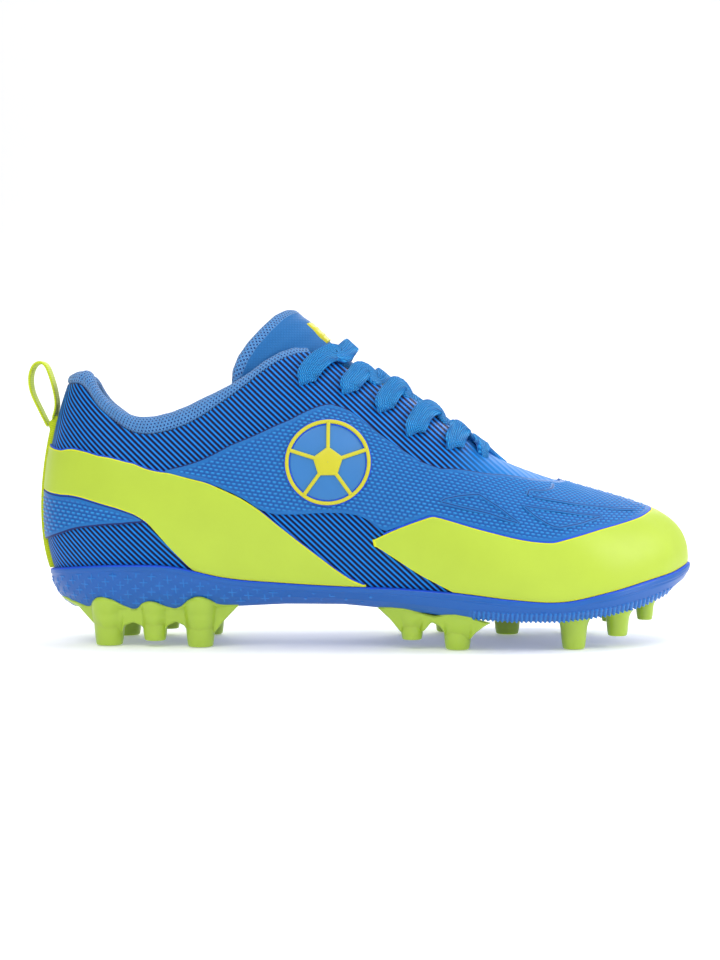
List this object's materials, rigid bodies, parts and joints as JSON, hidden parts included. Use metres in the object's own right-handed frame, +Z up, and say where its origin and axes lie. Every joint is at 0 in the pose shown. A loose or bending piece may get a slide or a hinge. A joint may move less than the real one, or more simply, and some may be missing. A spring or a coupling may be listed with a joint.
{
  "type": "soccer cleat",
  "caption": "Low-cut moulded-stud soccer cleat, right foot, laced, with padded collar, sprung tongue, heel pull loop and lift-out sockliner.",
  "frame": {"origin": "centre of the box round the shoe, on the plane of the longest stud tips", "axes": "+X from heel to toe, +Y towards the medial side (big toe side) of this right shoe, +Z up"},
  "size_m": [0.238, 0.088, 0.1182],
  "materials": {
    "plate_blue": "semi-gloss",
    "stud_lime": "semi-gloss",
    "eva_white": "matte",
    "board_fibre": "matte",
    "base_stripe": "satin",
    "counter_board": "matte",
    "lining_grey": "matte",
    "mesh_blue": "matte",
    "foam_cream": "matte",
    "backing_dark": "matte",
    "overlay_lime": "satin",
    "overlay_blue": "satin",
    "webbing_lime": "matte",
    "badge_yellow": "satin",
    "lace_blue": "matte",
    "aglet_clear": "gloss",
    "tongue_blue": "matte",
    "foam_dark": "matte",
    "cover_blue": "matte"
  },
  "bodies": {
    "shoe": {"outsole_plate": "plate_blue", "heel_studs": "stud_lime", "studs_rear_lateral": "stud_lime", "studs_rear_medial": "stud_lime", "stud_ball_medial": "stud_lime", "stud_front_lateral": "stud_lime", "stud_front_medial": "stud_lime", "stud_tip_lateral": "stud_lime", "stud_tip_medial": "stud_lime", "stud_toe": "stud_lime", "heel_wedge": "eva_white", "insole_board": "board_fibre", "upper_base": "base_stripe", "heel_counter": "counter_board", "toe_puff": "counter_board", "vamp_lining": "lining_grey", "collar_lining": "mesh_blue", "collar_foam": "foam_cream", "eyestay_backing_lateral": "backing_dark", "eyestay_backing_medial": "backing_dark", "wing_overlay": "overlay_lime", "toe_overlay": "overlay_lime", "texture_overlay": "overlay_blue", "heel_texture": "overlay_blue", "heel_strip": "webbing_lime", "badge_lateral": "badge_yellow", "badge_medial": "badge_yellow", "lace": "lace_blue", "lace_tail_lateral": "lace_blue", "lace_tail_medial": "lace_blue", "aglet_lateral": "aglet_clear", "aglet_medial": "aglet_clear"},
    "tongue": {"tongue_skin": "tongue_blue", "tongue_foam": "foam_cream", "tongue_lining": "mesh_blue", "tongue_mark": "badge_yellow"},
    "pull_tab": {"pull_loop": "webbing_lime"},
    "sockliner": {"sockliner_foam": "foam_dark", "sockliner_cover": "cover_blue"}
  },
  "joints": [
    {"name": "tongue_swing", "type": "hinge", "parent": "shoe", "child": "tongue", "pos_m": [0.05108, 0.00053, 0.0575], "axis": [0, 1, 0], "range_deg": [-12, 0], "stiffness_Nm_per_rad": 0.6},
    {"name": "pull_tab_fold", "type": "hinge", "parent": "shoe", "child": "pull_tab", "pos_m": [-0.11112, 0.00003, 0.077], "axis": [0, 1, 0], "range_deg": [-60, 0], "stiffness_Nm_per_rad": 0.02},
    {"name": "sockliner_lift", "type": "hinge", "parent": "shoe", "child": "sockliner", "pos_m": [0.11208, 0.00403, 0.0234], "axis": [0, 1, 0], "range_deg": [0, 8]}
  ]
}
